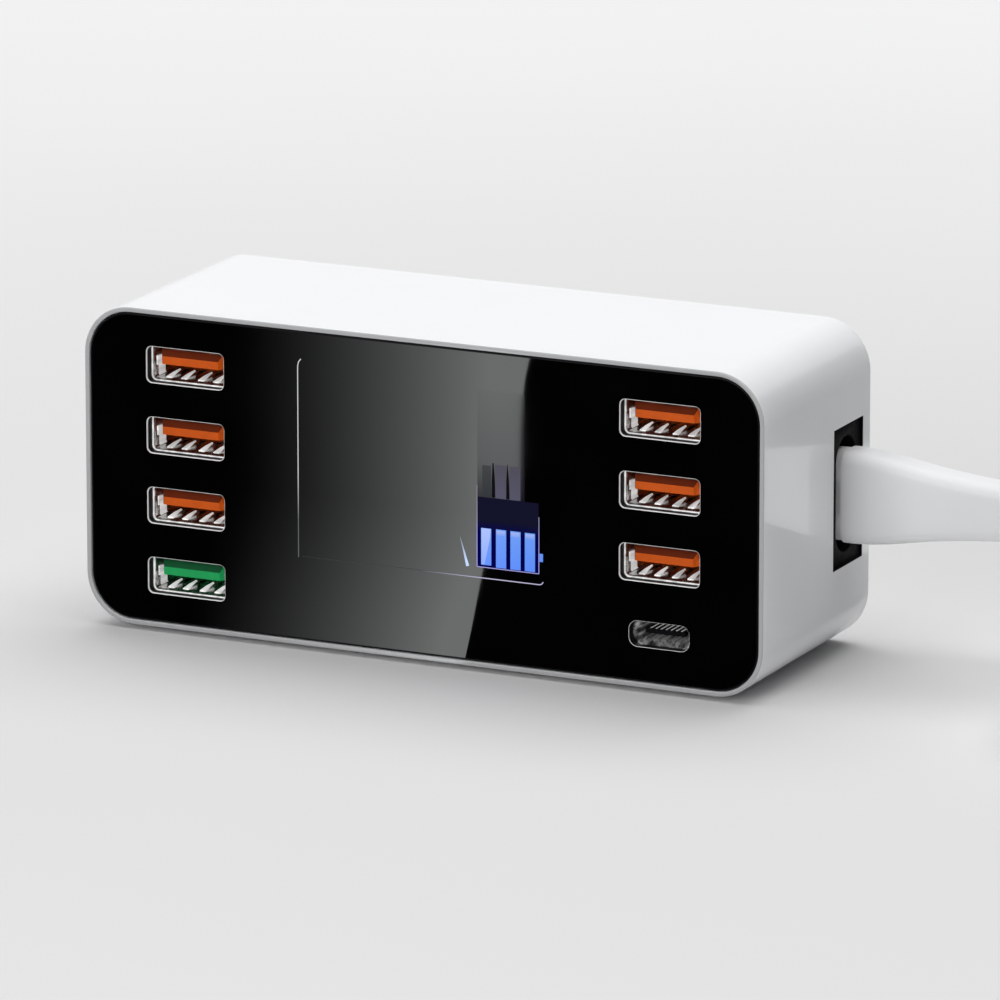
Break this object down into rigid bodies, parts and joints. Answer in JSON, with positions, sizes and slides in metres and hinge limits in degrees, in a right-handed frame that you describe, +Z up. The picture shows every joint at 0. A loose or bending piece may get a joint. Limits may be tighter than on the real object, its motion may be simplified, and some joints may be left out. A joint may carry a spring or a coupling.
{
  "type": "usb charger",
  "caption": "Flat desk charger with columns of USB sockets beside a lit charge display behind a glossy front, a mains inlet in its side and the moulded mains lead.",
  "frame": {"origin": "on the surface the charger stands on, under the middle of its housing", "axes": "+X to the right along the housing's width, towards the mains inlet; +Y away from the front; +Z up"},
  "size_m": [0.2775, 0.0513, 0.0523],
  "materials": {
    "white_shell": "fine satin",
    "black_panel": "polished",
    "black_plastic": "satin",
    "display_glass": "smooth",
    "white_diffuser": "matt",
    "green_board": "lacquered",
    "brown_board": "lacquered",
    "steel": "bright",
    "nickel_sheet": "bright nickel plate",
    "contact_gold": "thin gold plate",
    "orange_plastic": "satin",
    "green_plastic": "satin",
    "ferrite": "dull",
    "yellow_tape": "satin tape",
    "blue_sleeve": "shrunk sleeve",
    "green_sleeve": "shrunk sleeve",
    "green_coating": "painted",
    "copper_wire": "enamelled",
    "yellow_case": "smooth",
    "fuse_glass": "clear",
    "aluminium": "rolled",
    "foot_rubber": "matt",
    "white_vinyl": "satin",
    "strap": "woven",
    "plated_brass": "nickel plate"
  },
  "bodies": {
    "root": {"housing": "white_shell", "front_panel": "black_panel", "front_frame": "black_plastic", "display_cell": "display_glass", "display_backlight": "white_diffuser", "display_board": "green_board", "display_header": "black_plastic", "port_board": "green_board", "port_board_screws": "steel", "usb_a_shell_1": "nickel_sheet", "usb_a_shell_2": "nickel_sheet", "usb_a_shell_3": "nickel_sheet", "usb_a_shell_4": "nickel_sheet", "usb_a_shell_5": "nickel_sheet", "usb_a_shell_6": "nickel_sheet", "usb_a_shell_7": "nickel_sheet", "usb_a_tongue_1": "orange_plastic", "usb_a_tongue_2": "orange_plastic", "usb_a_tongue_3": "orange_plastic", "usb_a_tongue_4": "green_plastic", "usb_a_tongue_5": "orange_plastic", "usb_a_tongue_6": "orange_plastic", "usb_a_tongue_7": "orange_plastic", "usb_a_contacts_1": "contact_gold", "usb_a_contacts_2": "contact_gold", "usb_a_contacts_3": "contact_gold", "usb_a_contacts_4": "contact_gold", "usb_a_contacts_5": "contact_gold", "usb_a_contacts_6": "contact_gold", "usb_a_contacts_7": "contact_gold", "usb_c_shell": "nickel_sheet", "usb_c_tongue": "black_plastic", "usb_c_contacts": "contact_gold", "main_board": "brown_board", "main_board_screws": "steel", "link_header": "black_plastic", "transformer_core": "ferrite", "transformer_winding": "yellow_tape", "mains_capacitors": "blue_sleeve", "output_capacitors": "green_sleeve", "choke_core": "green_coating", "choke_winding": "copper_wire", "filter_capacitor": "yellow_case", "fuse": "fuse_glass", "bridge_rectifier": "black_plastic", "heat_sinks": "aluminium", "power_transistors": "black_plastic", "control_chips": "black_plastic", "mains_inlet": "black_plastic", "inlet_pins": "steel", "feet": "foot_rubber", "cord_connector": "white_vinyl", "connector_contacts": "contact_gold", "cord_lead": "white_vinyl", "cord_hank": "white_vinyl", "cord_tail": "white_vinyl", "cord_tie": "strap", "plug_body": "white_vinyl", "plug_pins": "plated_brass"}
  },
  "joints": []
}
